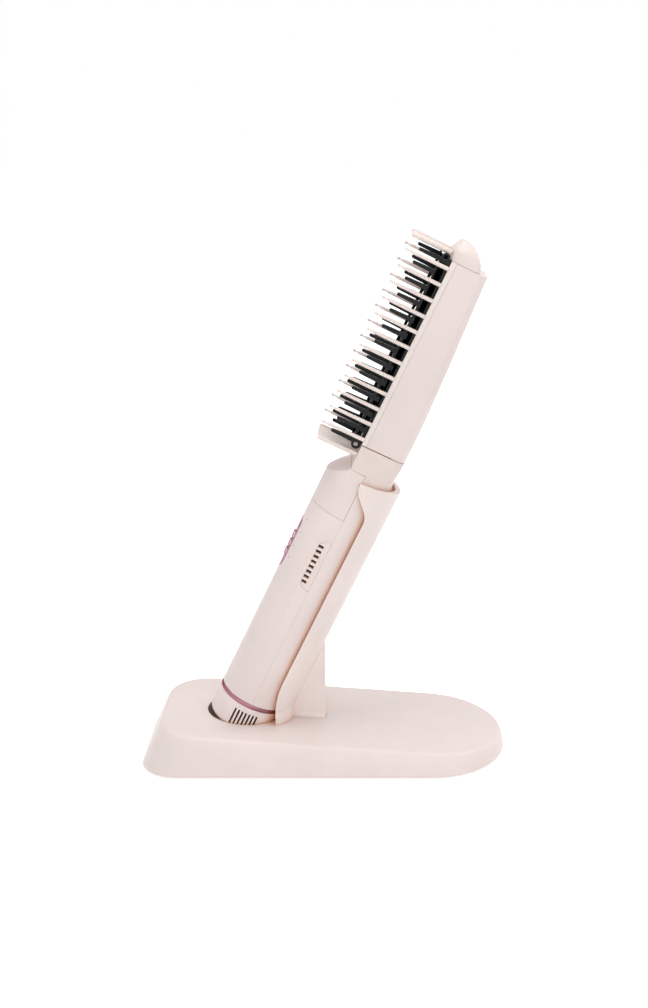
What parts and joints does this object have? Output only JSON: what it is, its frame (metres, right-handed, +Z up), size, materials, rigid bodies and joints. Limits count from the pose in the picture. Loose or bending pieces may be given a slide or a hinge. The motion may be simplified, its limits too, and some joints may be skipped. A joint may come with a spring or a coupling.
{
  "type": "hair straightening brush",
  "caption": "Cordless hair straightening brush with cool pins and a heated comb, leaning in a wedge-shaped charging stand; it lifts out along its handle.",
  "frame": {"origin": "centre of the stand's underside, on the surface that it stands on", "axes": "+X along the stand towards its rounded end, +Y across it, away from the side that the picture shows, +Z up; the brush leans from the cup towards +X"},
  "size_m": [0.1854, 0.081, 0.2658],
  "materials": {
    "shell": "satin moulded plastic",
    "trim": "metallised rose",
    "comb": "dark glossy coating",
    "rubber": "matt",
    "black_plastic": "fine texture",
    "board": "solder mask",
    "steel": "plated",
    "contact": "plated",
    "cell": "shrink sleeve",
    "ceramic": "ceramic",
    "insulation": "fibre board"
  },
  "bodies": {
    "stand": {"stand_base": "shell", "stand_cradle": "shell", "bottom_cover": "shell", "rubber_feet": "rubber", "cover_screws": "steel", "cradle_screws": "steel", "charging_post": "black_plastic", "charging_pins": "contact", "charging_board": "board", "inlet_socket": "steel"},
    "brush": {"end_cap": "shell", "charge_contacts": "contact", "trim_ring": "trim", "handle_front_shell": "shell", "handle_rear_shell": "shell", "side_vent_near": "shell", "side_vent_far": "shell", "neck_cover": "shell", "neck_yoke": "shell", "handle_screws": "steel", "control_bezel": "trim", "button_board": "board", "main_board": "board", "battery_carrier": "black_plastic", "battery_cell_lower": "cell", "battery_cell_upper": "cell", "head_casing": "shell", "tip_cap": "shell", "pin_rail_near": "shell", "pin_rail_far": "shell", "heated_plate": "comb", "comb_strip_near": "comb", "comb_strip_far": "comb", "heater_element": "ceramic", "insulation_pad": "insulation", "temperature_sensor": "ceramic", "head_screws": "steel", "guard_fin_top": "shell", "guard_fin_bottom": "shell"},
    "power_key": {"power_button": "trim"},
    "warmer_key": {"warmer_button": "trim"},
    "cooler_key": {"cooler_button": "trim"}
  },
  "joints": [
    {"name": "brush_lift", "type": "slide", "parent": "stand", "child": "brush", "axis": [0.4344, 0, 0.9007], "range_m": [0, 0.2]},
    {"name": "power_press", "type": "slide", "parent": "brush", "child": "power_key", "axis": [0.9007, 0, -0.4344], "range_m": [0, 0.0006], "stiffness_N_per_m": 800},
    {"name": "warmer_press", "type": "slide", "parent": "brush", "child": "warmer_key", "axis": [0.9007, 0, -0.4344], "range_m": [0, 0.0006], "stiffness_N_per_m": 800},
    {"name": "cooler_press", "type": "slide", "parent": "brush", "child": "cooler_key", "axis": [0.9007, 0, -0.4344], "range_m": [0, 0.0006], "stiffness_N_per_m": 800}
  ]
}
